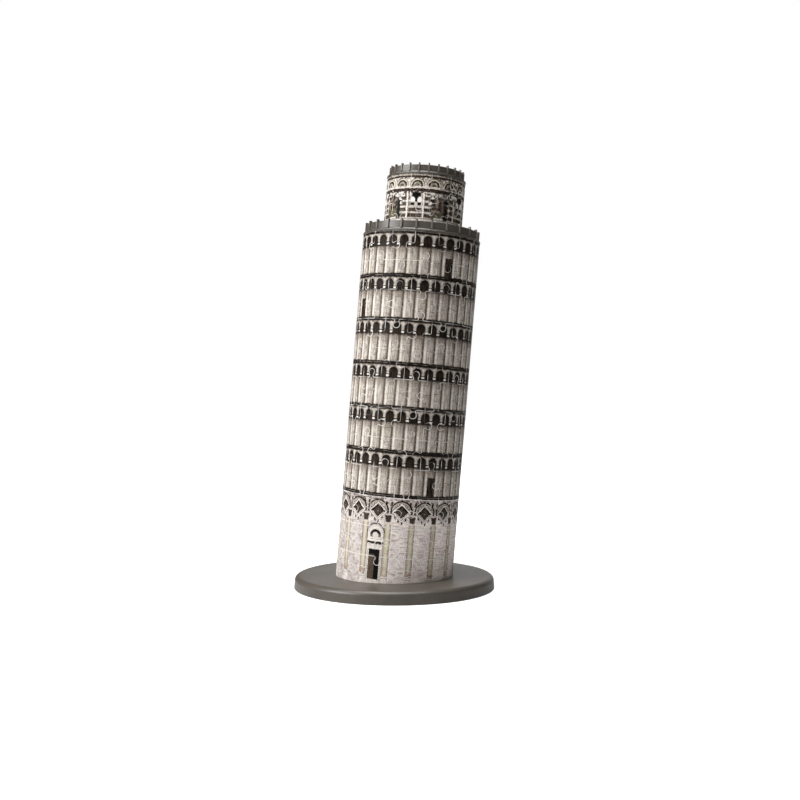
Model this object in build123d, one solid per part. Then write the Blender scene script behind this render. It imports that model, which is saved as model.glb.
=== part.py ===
from build123d import *
import os
from math import atan2, cos, degrees, pi, sin, sqrt

# A leaning tower about 30 cm tall, put together from curved interlocking plastic pieces.
# Sixteen pieces make one ring of the shaft and twelve make one ring of the belfry.
# A round base, a gallery deck and a cap, each moulded in one, hold the rings in line.
#
# Millimetres and degrees. +Z is up and the origin is the middle of the base's underside.
# The tower leans towards +X. Heights named LEVEL are measured along the leaning axis,
# from where that axis passes through the base's top.

# --- driving dimensions -----------------------------------------------------------------

LEAN = 4.7                    # from upright, towards +X

BASE_RADIUS = 72.0
BASE_HEIGHT = 9.0
BASE_SKIN = 2.2               # thickness of the top and of the rim
BASE_ROUNDING = 3.5           # upper edge of the rim
BASE_FOOT_ROUNDING = 0.5
BASE_DRAFT = 0.6              # the rim's top is this much narrower than its foot
BASE_RIB_COUNT = 4
BASE_RIB_THICKNESS = 1.6
BASE_RIB_LIFT = 1.0           # the ribs stop this far above the ground
BASE_HUB_RADIUS = 8.0

SHAFT_RADIUS = 42.0
SHAFT_COLUMNS = 16
SHAFT_ROWS = 12
SHAFT_FIRST_SEAM_LEVEL = 17.42
BELFRY_RADIUS = 28.2
BELFRY_COLUMNS = 12
BELFRY_ROWS = 2
ROW_HEIGHT = 20.38            # pitch of the rings on the shaft and on the belfry
SHELL = 2.0                   # thickness of the curved pieces

FACING = -90.0                # azimuth of the tower's front, which looks along -Y
SHAFT_PIECE_TURN = 4.35       # the piece nearest the front is centred this far round
BELFRY_PIECE_TURN = -8.5

SEAM_GAP = 0.12               # between neighbouring pieces
RESTING_GAP = 0.05            # between a ring and the moulding that it stands under or on
HEAD_RADIUS = 2.4             # round head of a jigsaw knob
HEAD_OFFSET = 3.6             # from the seam to the middle of the head
NECK_CURVE = 1.2              # radius of the hollow curves at the neck
CUT_MARGIN = 1.6              # knobs are cut this much past both faces of the shell

SOCKET_CLEARANCE = 0.1        # radial, where a moulded spigot goes inside a ring
SPIGOT_WALL = 1.8
BASE_SPIGOT_TOP_LEVEL = 8.0
SPIGOT_LENGTH = 5.0           # of the deck's and the cap's spigots

DECK_FLANGE = 1.2
DECK_FLANGE_RADIUS = 42.3
DECK_FLOOR = 1.6
DECK_WALL_RADIUS = 40.5
DECK_WALL_HEIGHT = 5.85       # from the flange's top to the top of the wall
DECK_BLADE_REACH = 0.9        # the blades stand this far out of the wall
DECK_BLADE_THICKNESS = 1.2
DECK_BLADE_TURN = -6.9

CAP_FLANGE = 1.1
CAP_FLANGE_RADIUS = 28.5
CAP_FLOOR = 1.4
CAP_WALL_RADIUS = 26.45
CAP_WALL_HEIGHT = 5.3
CAP_BLADE_REACH = 0.65
CAP_BLADE_THICKNESS = 1.0
CAP_BLADE_TURN = 1.5

BLADE_COUNT = 24
BLADE_RISE = 1.3              # the blades stand this far above the wall
PARAPET_WALL = 1.2
PLINTH_HEIGHT = 0.9           # sloped foot of the parapet wall
PLINTH_REACH = 0.6
FLANGE_ROUNDING = 0.4

# --- worked out from them ---------------------------------------------------------------

TOWER = Location((0, 0, BASE_HEIGHT)) * Rot(0, LEAN, 0)
SHAFT_TOP_LEVEL = SHAFT_FIRST_SEAM_LEVEL + (SHAFT_ROWS - 1) * ROW_HEIGHT
DECK_LEVEL = SHAFT_TOP_LEVEL + RESTING_GAP
BELFRY_LEVEL = DECK_LEVEL + DECK_FLOOR + RESTING_GAP
CAP_LEVEL = BELFRY_LEVEL + BELFRY_ROWS * ROW_HEIGHT + RESTING_GAP
TALL = 2 * CAP_LEVEL          # longer than anything that it is used to cut


def tube(outer, inner, low, high):
    """An upright tube between two heights."""
    height = high - low
    middle = Pos(0, 0, (low + high) / 2)
    return middle * (Cylinder(outer, height) - Cylinder(inner, height))


# --- the jigsaw pieces ------------------------------------------------------------------


def knob_face(growth):
    """The outline of a knob that points along +Y from a seam at Y = 0, grown by growth all round."""
    reach = HEAD_RADIUS + NECK_CURVE
    rise = HEAD_OFFSET - NECK_CURVE
    side = sqrt(reach**2 - rise**2)
    hollow = NECK_CURVE - growth
    meeting = atan2(rise, -side)
    halfway = (meeting + 3 * pi / 2) / 2
    foot = (side, growth)
    waist = (side + hollow * cos(halfway), NECK_CURVE + hollow * sin(halfway))
    shoulder = (side + hollow * cos(meeting), NECK_CURVE + hollow * sin(meeting))
    crown = (0, HEAD_OFFSET + HEAD_RADIUS + growth)

    def mirrored(point):
        return (-point[0], point[1])

    below = -HEAD_RADIUS
    edges = [
        ThreePointArc(foot, waist, shoulder),
        ThreePointArc(shoulder, crown, mirrored(shoulder)),
        ThreePointArc(mirrored(shoulder), mirrored(waist), mirrored(foot)),
        Polyline(mirrored(foot), (-side, below), (side, below), foot),
    ]
    return make_face(edges)


def knob(radius, azimuth, height, direction, growth):
    """A knob through a shell of this radius. direction 0 points along the ring, 90 points up."""
    wall = Plane(
        origin=(radius - SHELL - CUT_MARGIN, 0, height), x_dir=(0, 1, 0), z_dir=(1, 0, 0)
    )
    face = wall * Rot(0, 0, direction - 90) * knob_face(growth)
    return Rot(0, 0, azimuth) * extrude(face, SHELL + 2 * CUT_MARGIN)


def plain_piece(radius, columns, low, high):
    """One piece's share of the shell, with straight edges, centred on azimuth 0."""
    width = 360 / columns - degrees(SEAM_GAP / radius)
    height = high - low - SEAM_GAP
    section = Plane.XZ * Pos(radius - SHELL / 2, (low + high) / 2) * Rectangle(SHELL, height)
    return Rot(0, 0, -width / 2) * revolve(section, Axis.Z, width)


def jigsaw_piece(radius, columns, low, high, side_knobs, joined_below, joined_above):
    """A piece with knobs on its two sides and sockets in its ends, or the other way round."""
    half = 180 / columns
    middle = (low + high) / 2
    sides = [(-half, middle, 180), (half, middle, 0)]
    ends = []
    if joined_below:
        ends.append((0, low, -90))
    if joined_above:
        ends.append((0, high, 90))
    knobs, sockets = (sides, ends) if side_knobs else (ends, sides)

    shape = plain_piece(radius, columns, low, high)
    shell = tube(radius, radius - SHELL, -TALL, TALL)
    for azimuth, height, direction in knobs:
        shape += knob(radius, azimuth, height, direction, -SEAM_GAP / 2) & shell
    for azimuth, height, direction in sockets:
        shape -= knob(radius, azimuth, height, direction + 180, SEAM_GAP / 2)
    return shape


def ring_half(radius, columns, turn, low, high, side_knobs, first, below, above):
    """Every second piece of a ring, in its place on the leaning tower."""
    shape = jigsaw_piece(radius, columns, low, high, side_knobs, below, above)
    pieces = []
    for column in range(first, columns, 2):
        azimuth = FACING + turn + column * 360 / columns
        pieces.append(TOWER * Rot(0, 0, azimuth) * shape)
    return pieces


def cut_level(pieces):
    """Trims pieces to the base's top, so that their lower edges are level and the tower leans."""
    room = Pos(0, 0, BASE_HEIGHT + RESTING_GAP - TALL / 2) * Box(TALL, TALL, TALL)
    return [piece - room for piece in pieces]


# --- the moulded parts ------------------------------------------------------------------


def base_section():
    """Half of the plate's section: its top, the rounded rim and the hollow underneath."""
    rim_top = BASE_RADIUS - BASE_DRAFT
    hollow = BASE_HEIGHT - BASE_SKIN
    with BuildSketch(Plane.XZ) as section:
        with BuildLine():
            Polyline(
                (0, hollow),
                (0, BASE_HEIGHT),
                (rim_top, BASE_HEIGHT),
                (BASE_RADIUS, 0),
                (BASE_RADIUS - BASE_SKIN, 0),
                (rim_top - BASE_SKIN, hollow),
                close=True,
            )
        make_face()
        fillet(section.vertices().sort_by(Axis.X)[-1], BASE_FOOT_ROUNDING)
        fillet(section.vertices().group_by(Axis.Y)[-1].sort_by(Axis.X)[-1], BASE_ROUNDING)
    return section.sketch


def base_plate():
    """Round stand, hollow and ribbed underneath, with the leaning spigot that holds the shaft."""
    plate = revolve(base_section(), Axis.Z)

    rib_height = BASE_HEIGHT - BASE_SKIN / 2 - BASE_RIB_LIFT
    rib_level = BASE_RIB_LIFT + rib_height / 2
    rib_start = BASE_HUB_RADIUS - BASE_RIB_THICKNESS / 2
    rib_length = BASE_RADIUS - BASE_SKIN / 2 - BASE_DRAFT - rib_start
    rib_middle = rib_start + rib_length / 2
    for index in range(BASE_RIB_COUNT):
        rib = Pos(rib_middle, 0, rib_level) * Box(rib_length, BASE_RIB_THICKNESS, rib_height)
        plate += Rot(0, 0, index * 360 / BASE_RIB_COUNT) * rib
    hub_bore = BASE_HUB_RADIUS - BASE_RIB_THICKNESS
    plate += tube(BASE_HUB_RADIUS, hub_bore, BASE_RIB_LIFT, BASE_HEIGHT - BASE_SKIN / 2)

    outer = SHAFT_RADIUS - SHELL - SOCKET_CLEARANCE
    spigot = TOWER * tube(outer, outer - SPIGOT_WALL, -BASE_HEIGHT, BASE_SPIGOT_TOP_LEVEL)
    above = Pos(0, 0, BASE_HEIGHT - BASE_SKIN / 2 + TALL / 2) * Box(TALL, TALL, TALL)
    return plate + (spigot & above)


def parapet(level, flange, flange_radius, wall_radius, wall_height, reach, thickness, turn, floor):
    """A flanged floor with a ring wall on it, and upright blades set through the wall."""
    flange_top = level + flange
    wall_top = flange_top + wall_height
    plinth_top = flange_top + PLINTH_HEIGHT
    with BuildSketch(Plane.XZ) as section:
        with BuildLine():
            Polyline(
                (0, level + floor),
                (0, level),
                (flange_radius - FLANGE_ROUNDING, level),
            )
            RadiusArc(
                (flange_radius - FLANGE_ROUNDING, level),
                (flange_radius, level + FLANGE_ROUNDING),
                -FLANGE_ROUNDING,
            )
            Line((flange_radius, level + FLANGE_ROUNDING), (flange_radius, flange_top - FLANGE_ROUNDING))
            RadiusArc(
                (flange_radius, flange_top - FLANGE_ROUNDING),
                (flange_radius - FLANGE_ROUNDING, flange_top),
                -FLANGE_ROUNDING,
            )
            Polyline(
                (flange_radius - FLANGE_ROUNDING, flange_top),
                (wall_radius + PLINTH_REACH, flange_top),
                (wall_radius, plinth_top),
                (wall_radius, wall_top),
                (wall_radius - PARAPET_WALL, wall_top),
                (wall_radius - PARAPET_WALL, level + floor),
                (0, level + floor),
            )
        make_face()
    shape = revolve(section.sketch, Axis.Z)

    depth = PARAPET_WALL + reach
    height = wall_top + BLADE_RISE - plinth_top
    middle = (wall_radius - PARAPET_WALL + depth / 2, 0, plinth_top + height / 2)
    for index in range(BLADE_COUNT):
        blade = Pos(*middle) * Box(depth, thickness, height)
        shape += Rot(0, 0, FACING + turn + index * 360 / BLADE_COUNT) * blade
    return shape


def hanging_spigot(radius, level):
    """The ring under a moulding that goes down inside a ring of pieces of this radius."""
    outer = radius - SHELL - SOCKET_CLEARANCE
    return tube(outer, outer - SPIGOT_WALL, level - SPIGOT_LENGTH, level)


def gallery_deck():
    """Floor of the gallery with its parapet, a spigot into the shaft and a collar for the belfry."""
    shape = parapet(
        DECK_LEVEL, DECK_FLANGE, DECK_FLANGE_RADIUS, DECK_WALL_RADIUS, DECK_WALL_HEIGHT,
        DECK_BLADE_REACH, DECK_BLADE_THICKNESS, DECK_BLADE_TURN, DECK_FLOOR,
    )
    shape += hanging_spigot(SHAFT_RADIUS, DECK_LEVEL)
    floor_level = DECK_LEVEL + DECK_FLOOR
    shape += hanging_spigot(BELFRY_RADIUS, floor_level + SPIGOT_LENGTH)
    return TOWER * shape


def belfry_cap():
    """Floor on top of the belfry with its own parapet, and a spigot into the belfry."""
    shape = parapet(
        CAP_LEVEL, CAP_FLANGE, CAP_FLANGE_RADIUS, CAP_WALL_RADIUS, CAP_WALL_HEIGHT,
        CAP_BLADE_REACH, CAP_BLADE_THICKNESS, CAP_BLADE_TURN, CAP_FLOOR,
    )
    shape += hanging_spigot(BELFRY_RADIUS, CAP_LEVEL)
    return TOWER * shape


# --- the whole tower --------------------------------------------------------------------


def write_ring(name, radius, columns, turn, low, row, rows, first_with_knobs):
    """Writes a ring as two nodes: the pieces with side knobs, and those with end knobs."""
    for side_knobs, kind in ((True, "side_knobs"), (False, "end_knobs")):
        first = first_with_knobs if side_knobs else 1 - first_with_knobs
        pieces = ring_half(
            radius, columns, turn, low, low + ROW_HEIGHT, side_knobs, first, row > 1, row < rows
        )
        if radius == SHAFT_RADIUS and row == 1:
            pieces = cut_level(pieces)
        export_step(Compound(children=pieces), f"parts/{name}_{kind}.step")


def write_all():
    os.makedirs("parts", exist_ok=True)
    export_step(base_plate(), "parts/base_plate.step")
    export_step(gallery_deck(), "parts/gallery_deck.step")
    export_step(belfry_cap(), "parts/belfry_cap.step")
    for row in range(1, SHAFT_ROWS + 1):
        low = SHAFT_FIRST_SEAM_LEVEL + (row - 2) * ROW_HEIGHT
        write_ring(
            f"shaft_ring_{row:02d}", SHAFT_RADIUS, SHAFT_COLUMNS, SHAFT_PIECE_TURN,
            low, row, SHAFT_ROWS, row % 2,
        )
    for row in range(1, BELFRY_ROWS + 1):
        low = BELFRY_LEVEL + (row - 1) * ROW_HEIGHT
        write_ring(
            f"belfry_ring_{row}", BELFRY_RADIUS, BELFRY_COLUMNS, BELFRY_PIECE_TURN,
            low, row, BELFRY_ROWS, (row + 1) % 2,
        )


write_all()
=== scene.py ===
import math

import bmesh
import bpy
import numpy as np
from mathutils import Matrix, Vector
from mathutils.geometry import delaunay_2d_cdt


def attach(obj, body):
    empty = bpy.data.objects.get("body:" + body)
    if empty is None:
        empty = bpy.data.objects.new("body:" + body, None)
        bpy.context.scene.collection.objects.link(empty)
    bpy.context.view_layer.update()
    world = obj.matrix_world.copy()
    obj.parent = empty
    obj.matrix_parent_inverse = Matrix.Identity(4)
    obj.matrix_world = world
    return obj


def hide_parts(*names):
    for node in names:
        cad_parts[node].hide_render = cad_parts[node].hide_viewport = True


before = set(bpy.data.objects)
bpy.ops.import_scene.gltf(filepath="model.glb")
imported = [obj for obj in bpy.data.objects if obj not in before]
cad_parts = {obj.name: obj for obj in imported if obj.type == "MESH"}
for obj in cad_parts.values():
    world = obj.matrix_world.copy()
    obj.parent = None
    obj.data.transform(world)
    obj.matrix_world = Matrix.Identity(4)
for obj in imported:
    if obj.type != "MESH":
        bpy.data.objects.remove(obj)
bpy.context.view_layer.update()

# A leaning tower put together from curved jigsaw pieces, on a round grey base.
# Metres in the scene; the lengths below are millimetres and the angles degrees.
# A LEVEL is a height along the leaning axis, from where it passes through the base's top.
# A TURN is an angle round the tower, from its front (-Y) towards its right (+X).

MM = 0.001
LEAN = 4.7

BASE_RADIUS, BASE_HEIGHT, BASE_SKIN = 72.0, 9.0, 2.2
BASE_ROUNDING, BASE_FOOT_ROUNDING, BASE_DRAFT = 3.5, 0.5, 0.6
BASE_RIBS, BASE_RIB_THICKNESS, BASE_RIB_LIFT, BASE_HUB_RADIUS = 4, 1.6, 1.0, 8.0
SHAFT_RADIUS, SHAFT_COLUMNS, SHAFT_ROWS = 42.0, 16, 12
BELFRY_RADIUS, BELFRY_COLUMNS, BELFRY_ROWS = 28.2, 12, 2
SHELL, ROW_HEIGHT, FIRST_SEAM = 2.0, 20.38, 17.42
SHAFT_PIECE_TURN, BELFRY_PIECE_TURN = 4.35, -8.5
SEAM_GAP, RESTING_GAP = 0.12, 0.05
HEAD_RADIUS, HEAD_OFFSET, NECK_CURVE = 2.4, 3.6, 1.2

SHAFT_TOP = FIRST_SEAM + (SHAFT_ROWS - 1) * ROW_HEIGHT
DECK_LEVEL = SHAFT_TOP + RESTING_GAP
DECK_FLOOR, CAP_FLOOR = 1.6, 1.4
BELFRY_LEVEL = DECK_LEVEL + DECK_FLOOR + RESTING_GAP
CAP_LEVEL = BELFRY_LEVEL + BELFRY_ROWS * ROW_HEIGHT + RESTING_GAP
SPIGOT_GAP, SPIGOT_WALL, SPIGOT_LENGTH, BASE_SPIGOT_TOP = 0.1, 1.8, 5.0, 8.0

BLADES, BLADE_RISE, PARAPET_WALL = 24, 1.3, 1.2
PLINTH_HEIGHT, PLINTH_REACH = 0.9, 0.6
FLANGE_ROUNDING, BLADE_ROUNDING, WALL_ROUNDING = 0.4, 0.22, 0.25
RIB_ROUNDING, SPIGOT_ROUNDING, BASE_SPIGOT_ROUNDING = 0.2, 0.2, 0.3
SPIGOT_ROOT = 0.5          # a spigot starts this far inside the floor that it hangs from
DECK = {
    "level": DECK_LEVEL, "flange": 1.2, "flange_radius": 42.3, "floor": DECK_FLOOR,
    "wall_radius": 40.5, "wall_height": 5.85, "reach": 0.9, "thickness": 1.2, "turn": -6.9,
}
CAP = {
    "level": CAP_LEVEL, "flange": 1.1, "flange_radius": 28.5, "floor": CAP_FLOOR,
    "wall_radius": 26.45, "wall_height": 5.3, "reach": 0.65, "thickness": 1.0, "turn": 1.5,
}

PIECE_EDGE = 0.18          # radius of the rounded edge of a jigsaw piece
PIECE_BORDER = 0.2         # flat strip beside it, which keeps the face's shading flat
GRID_ACROSS, GRID_UP = 2.6, 4.0
LATHE_STEPS = 192

LEANING = Matrix.Translation((0, 0, BASE_HEIGHT)) @ Matrix.Rotation(math.radians(LEAN), 4, "Y")


# --- meshes -----------------------------------------------------------------------------


def to_scene(points, leaning=True):
    """Millimetres about the tower's axis, or about the base's, to metres in the scene."""
    points = np.asarray(points, float)
    if leaning:
        turn = np.array(LEANING.to_3x3())
        points = points @ turn.T + np.array(LEANING.translation)
    return points * MM


def new_piece(name, points, faces, material):
    mesh = bpy.data.meshes.new(name)
    mesh.from_pydata([tuple(p) for p in points], [], [tuple(f) for f in faces])
    mesh.polygons.foreach_set("use_smooth", [True] * len(mesh.polygons))
    mesh.materials.append(material)
    piece = bpy.data.objects.new(name, mesh)
    bpy.context.scene.collection.objects.link(piece)
    return piece


def sharpen(piece, angle):
    """Marks the edges that turn by more than angle as sharp."""
    form = bmesh.new()
    form.from_mesh(piece.data)
    for edge in form.edges:
        edge.smooth = len(edge.link_faces) == 2 and edge.calc_face_angle(0) < math.radians(angle)
    form.to_mesh(piece.data)
    form.free()


# --- jigsaw pieces ----------------------------------------------------------------------


def arc(centre, radius, start, end, steps):
    """Points on an arc, without its first point."""
    angles = np.radians(np.linspace(start, end, steps + 1)[1:])
    return [(centre[0] + radius * math.cos(a), centre[1] + radius * math.sin(a)) for a in angles]


def knob_line(growth):
    """The line of a knob that points along +Y from a seam at Y = 0, grown by growth all round."""
    rise = HEAD_OFFSET - NECK_CURVE
    side = math.sqrt((HEAD_RADIUS + NECK_CURVE) ** 2 - rise**2)
    meeting = math.degrees(math.atan2(rise, side))
    hollow = NECK_CURVE - growth
    head = HEAD_RADIUS + growth
    line = [(-side, growth)]
    line += arc((-side, NECK_CURVE), hollow, -90, meeting, 6)
    line += arc((0, HEAD_OFFSET), head, 180 + meeting, -meeting, 20)
    line += arc((side, NECK_CURVE), hollow, 180 - meeting, 270, 6)
    return line


def seam_line(start, end, middle, kind):
    """Points from start up to end along a seam, with a knob (+1) or a socket (-1) at middle."""
    start, end, middle = (np.array(p, float) for p in (start, end, middle))
    along = (end - start) / np.linalg.norm(end - start)
    outward = np.array((along[1], -along[0]))
    inset = SEAM_GAP / 2
    knob = [
        middle + along * x + outward * (y * kind + inset) for x, y in knob_line(-inset * kind)
    ]
    before = [start + (knob[0] - start) * t for t in np.linspace(0, 1, 4, endpoint=False)]
    after = [end + (knob[-1] - end) * t for t in np.linspace(1, 0, 4, endpoint=False)]
    return before + knob + after[1:]


def plain_line(start, end, height):
    """Points from start up to end at the level that height gives for each place across."""
    return [np.array((x, height(x))) for x in np.linspace(start, end, 12, endpoint=False)]


def piece_outline(width, low, side_kind, joined_below, joined_above, foot):
    """The outline of one piece, anticlockwise: (millimetres round the ring, level)."""
    inset = SEAM_GAP / 2
    right = width / 2 - inset
    top = low + ROW_HEIGHT - inset
    middle = low + ROW_HEIGHT / 2
    foot_left, foot_right = (-right, foot(-right)), (right, foot(right))
    if joined_below:
        line = seam_line(foot_left, foot_right, (0, low + inset), -side_kind)
    else:
        line = plain_line(-right, right, foot)
    line += seam_line(foot_right, (right, top), (right, middle), side_kind)
    if joined_above:
        line += seam_line((right, top), (-right, top), (0, top), -side_kind)
    else:
        line += plain_line(right, -right, lambda x: top)
    line += seam_line((-right, top), foot_left, (-right, middle), side_kind)
    return np.array(line)


def inset_line(outline, distance):
    """The outline moved inwards by distance."""
    before = outline - np.roll(outline, 1, axis=0)
    after = np.roll(outline, -1, axis=0) - outline
    before /= np.linalg.norm(before, axis=1)[:, None]
    after /= np.linalg.norm(after, axis=1)[:, None]
    inward = np.stack([-before[:, 1] - after[:, 1], before[:, 0] + after[:, 0]], axis=1)
    inward /= np.linalg.norm(inward, axis=1)[:, None]
    lean = np.sum(inward * np.stack([-after[:, 1], after[:, 0]], axis=1), axis=1)
    return outline + inward * (distance / np.maximum(lean, 0.5))[:, None]


def inside(points, outline):
    """Which points lie inside an outline, with a small margin."""
    hits = np.zeros(len(points), bool)
    for a, b in zip(outline, np.roll(outline, -1, axis=0)):
        crosses = (a[1] > points[:, 1]) != (b[1] > points[:, 1])
        rise = b[1] - a[1] if b[1] != a[1] else 1.0
        hits ^= crosses & (points[:, 0] < (b[0] - a[0]) * (points[:, 1] - a[1]) / rise + a[0])
    gaps = np.linalg.norm(points[:, None] - outline[None], axis=2).min(axis=1)
    return hits & (gaps > GRID_ACROSS / 4)


def fill(outline):
    """Extra points inside an outline, and the triangles between them and the outline."""
    low, high = outline.min(axis=0), outline.max(axis=0)
    across = np.arange(low[0] + GRID_ACROSS / 2, high[0], GRID_ACROSS)
    up = np.arange(low[1] + GRID_UP / 2, high[1], GRID_UP)
    grid = np.array([(x, y) for x in across for y in up])
    grid = grid[inside(grid, outline)]
    count = len(outline)
    every = [Vector(p) for p in np.concatenate([outline, grid])]
    made = delaunay_2d_cdt(every, [], [list(range(count))], 1, 1e-6)
    source = [origins[0] for origins in made[3]]
    return grid, [[source[i] for i in face] for face in made[2]]


def piece_form(outline):
    """One piece as points (round, level, depth), faces, and how far each point is on the edge."""
    rounding = [math.radians(a) for a in (90, 60, 30, 0)]
    rings = [(PIECE_EDGE + PIECE_BORDER, 0.0)]
    rings += [(PIECE_EDGE * (1 - math.cos(a)), PIECE_EDGE * (1 - math.sin(a))) for a in rounding]
    rings += [(0.0, SHELL), (PIECE_EDGE + PIECE_BORDER, SHELL)]
    border = inset_line(outline, PIECE_EDGE + PIECE_BORDER)
    grid, triangles = fill(border)
    count, layers = len(outline), len(rings)
    points, faces = [], []
    for distance, depth in rings:
        line = inset_line(outline, distance) if distance else outline
        points += [(x, y, depth) for x, y in line]
    for layer in range(layers - 1):
        for i in range(count):
            a, b = layer * count + i, layer * count + (i + 1) % count
            faces.append((a + count, b + count, b, a))
    face_start = layers * count
    back_start = face_start + len(grid)
    points += [(x, y, 0.0) for x, y in grid]
    points += [(x, y, SHELL) for x, y in grid]
    for triangle in triangles:
        faces.append([i if i < count else i - count + face_start for i in triangle])
        back = [i + (layers - 1) * count if i < count else i - count + back_start for i in triangle]
        faces.append(back[::-1])
    edge = np.ones(len(points))
    edge[: 2 * count] = 0.0
    edge[face_start:back_start] = 0.0
    return np.array(points), faces, edge


def make_ring(name, body, radius, columns, first_turn, low, side_kind, first, below, above, cut, material):
    """Every second piece of a ring, as one object. A cut ring stands level on the base."""
    width = 2 * math.pi * radius / columns
    lean = math.tan(math.radians(LEAN))
    lift = RESTING_GAP / math.cos(math.radians(LEAN))
    places, faces, edges, prints = [], [], [], []
    form = None
    for column in range(first, columns, 2):
        turn = first_turn + column * 360 / columns
        if cut or form is None:
            def foot(x, turn=turn):
                if cut:
                    return lift + lean * radius * math.sin(math.radians(turn) + x / radius)
                return low + SEAM_GAP / 2
            form = piece_form(piece_outline(width, low, side_kind, below, above, foot))
        points, form_faces, edge = form
        offset = sum(len(p) for p in places)
        angle = math.radians(turn) + points[:, 0] / radius
        reach = radius - points[:, 2]
        places.append(np.stack([reach * np.sin(angle), -reach * np.cos(angle), points[:, 1]], axis=1))
        prints.append(np.stack([np.degrees(angle), points[:, 1], points[:, 2]], axis=1))
        faces += [[i + offset for i in face] for face in form_faces]
        edges.append(edge)
    placed = to_scene(np.concatenate(places))
    if cut:
        placed[:, 2] = np.maximum(placed[:, 2], (BASE_HEIGHT + RESTING_GAP) * MM)
    piece = new_piece(name, placed, faces, material)
    sharpen(piece, 50)
    layer = piece.data.attributes.new("print", "FLOAT_VECTOR", "POINT")
    layer.data.foreach_set("vector", np.concatenate(prints).ravel())
    layer = piece.data.attributes.new("edge", "FLOAT", "POINT")
    layer.data.foreach_set("value", np.concatenate(edges))
    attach(piece, body)
    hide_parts(name.replace("_pieces", ""))
    return piece


def make_shaft(material_of):
    for row in range(1, SHAFT_ROWS + 1):
        low = FIRST_SEAM + (row - 2) * ROW_HEIGHT
        for kind, side_kind, first in (("side_knobs", 1, row % 2), ("end_knobs", -1, 1 - row % 2)):
            piece = make_ring(
                f"shaft_ring_{row:02d}_{kind}_pieces", "shaft", SHAFT_RADIUS, SHAFT_COLUMNS,
                SHAFT_PIECE_TURN, low, side_kind, first, row > 1, row < SHAFT_ROWS, row == 1,
                material_of(row),
            )


def make_belfry(material):
    for row in range(1, BELFRY_ROWS + 1):
        low = BELFRY_LEVEL + (row - 1) * ROW_HEIGHT
        first_side = (row + 1) % 2
        for kind, side_kind, first in (("side_knobs", 1, first_side), ("end_knobs", -1, 1 - first_side)):
            piece = make_ring(
                f"belfry_ring_{row}_{kind}_pieces", "belfry", BELFRY_RADIUS, BELFRY_COLUMNS,
                BELFRY_PIECE_TURN, low, side_kind, first, row > 1, row < BELFRY_ROWS, False, material,
            )


# --- grey mouldings ---------------------------------------------------------------------


def rounded(corners, steps=4):
    """A closed line through (radius, level, rounding) corners, with the rounded ones as arcs."""
    line = []
    for i, (x, y, rounding) in enumerate(corners):
        here = np.array((x, y), float)
        if rounding == 0:
            line.append(here)
            continue
        back = np.array(corners[i - 1][:2], float) - here
        on = np.array(corners[(i + 1) % len(corners)][:2], float) - here
        back /= np.linalg.norm(back)
        on /= np.linalg.norm(on)
        half = math.acos(max(-1.0, min(1.0, float(back @ on)))) / 2
        trim = rounding / math.tan(half)
        centre = here + (back + on) / np.linalg.norm(back + on) * rounding / math.sin(half)
        start = here + back * trim - centre
        end = here + on * trim - centre
        sweep = math.atan2(start[0] * end[1] - start[1] * end[0], start @ end)
        for t in np.linspace(0, 1, steps + 1):
            a = sweep * t
            line.append(centre + np.array((
                start[0] * math.cos(a) - start[1] * math.sin(a),
                start[0] * math.sin(a) + start[1] * math.cos(a),
            )))
    return line


def lathe(line):
    """A closed line of (radius, level) turned about the axis. Points on the axis become one."""
    points, faces, rows = [], [], []
    for radius, level in line:
        if radius < 1e-6:
            rows.append([len(points)] * LATHE_STEPS)
            points.append((0.0, 0.0, level))
            continue
        rows.append(list(range(len(points), len(points) + LATHE_STEPS)))
        for step in range(LATHE_STEPS):
            a = 2 * math.pi * step / LATHE_STEPS
            points.append((radius * math.cos(a), radius * math.sin(a), level))
    for here, on in zip(rows, rows[1:] + rows[:1]):
        for i in range(LATHE_STEPS):
            j = (i + 1) % LATHE_STEPS
            face = []
            for corner in (here[i], here[j], on[j], on[i]):
                if corner not in face:
                    face.append(corner)
            if len(face) > 2:
                faces.append(face)
    return points, faces


def rounded_box(low, high, rounding):
    """An upright box with rounded edges."""
    form = bmesh.new()
    bmesh.ops.create_cube(form, size=1.0)
    size, middle = np.subtract(high, low), np.add(high, low) / 2
    bmesh.ops.scale(form, vec=size, verts=form.verts)
    bmesh.ops.translate(form, vec=middle, verts=form.verts)
    bmesh.ops.bevel(form, geom=form.edges[:], offset=rounding, segments=2, profile=0.5, affect="EDGES")
    form.verts.ensure_lookup_table()
    points = [tuple(v.co) for v in form.verts]
    faces = [[v.index for v in f.verts] for f in form.faces]
    form.free()
    return points, faces


def turned(points, turn):
    """Points turned about the axis, so that what was on +X is at this turn."""
    a = math.radians(turn - 90)
    c, s = math.cos(a), math.sin(a)
    return [(x * c - y * s, x * s + y * c, z) for x, y, z in points]


def join(forms):
    """Several (points, faces) as one."""
    points, faces = [], []
    for form_points, form_faces in forms:
        faces += [[i + len(points) for i in face] for face in form_faces]
        points += list(form_points)
    return points, faces


def tube_line(outer, low, high, rounding):
    inner = outer - SPIGOT_WALL
    return rounded([
        (outer, low, rounding), (outer, high, rounding), (inner, high, rounding), (inner, low, rounding),
    ])


def spigot(outer, low, high):
    return lathe(tube_line(outer, low, high, SPIGOT_ROUNDING))


def moulding(name, body, node, points, faces, material):
    """Adds a grey moulding that stands for a CAD node."""
    piece = new_piece(name, points, faces, material)
    form = bmesh.new()
    form.from_mesh(piece.data)
    bmesh.ops.recalc_face_normals(form, faces=form.faces)
    form.to_mesh(piece.data)
    form.free()
    sharpen(piece, 40)
    weighted = piece.modifiers.new("flat faces", "WEIGHTED_NORMAL")
    weighted.keep_sharp = True
    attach(piece, body)
    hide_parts(node)


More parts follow.
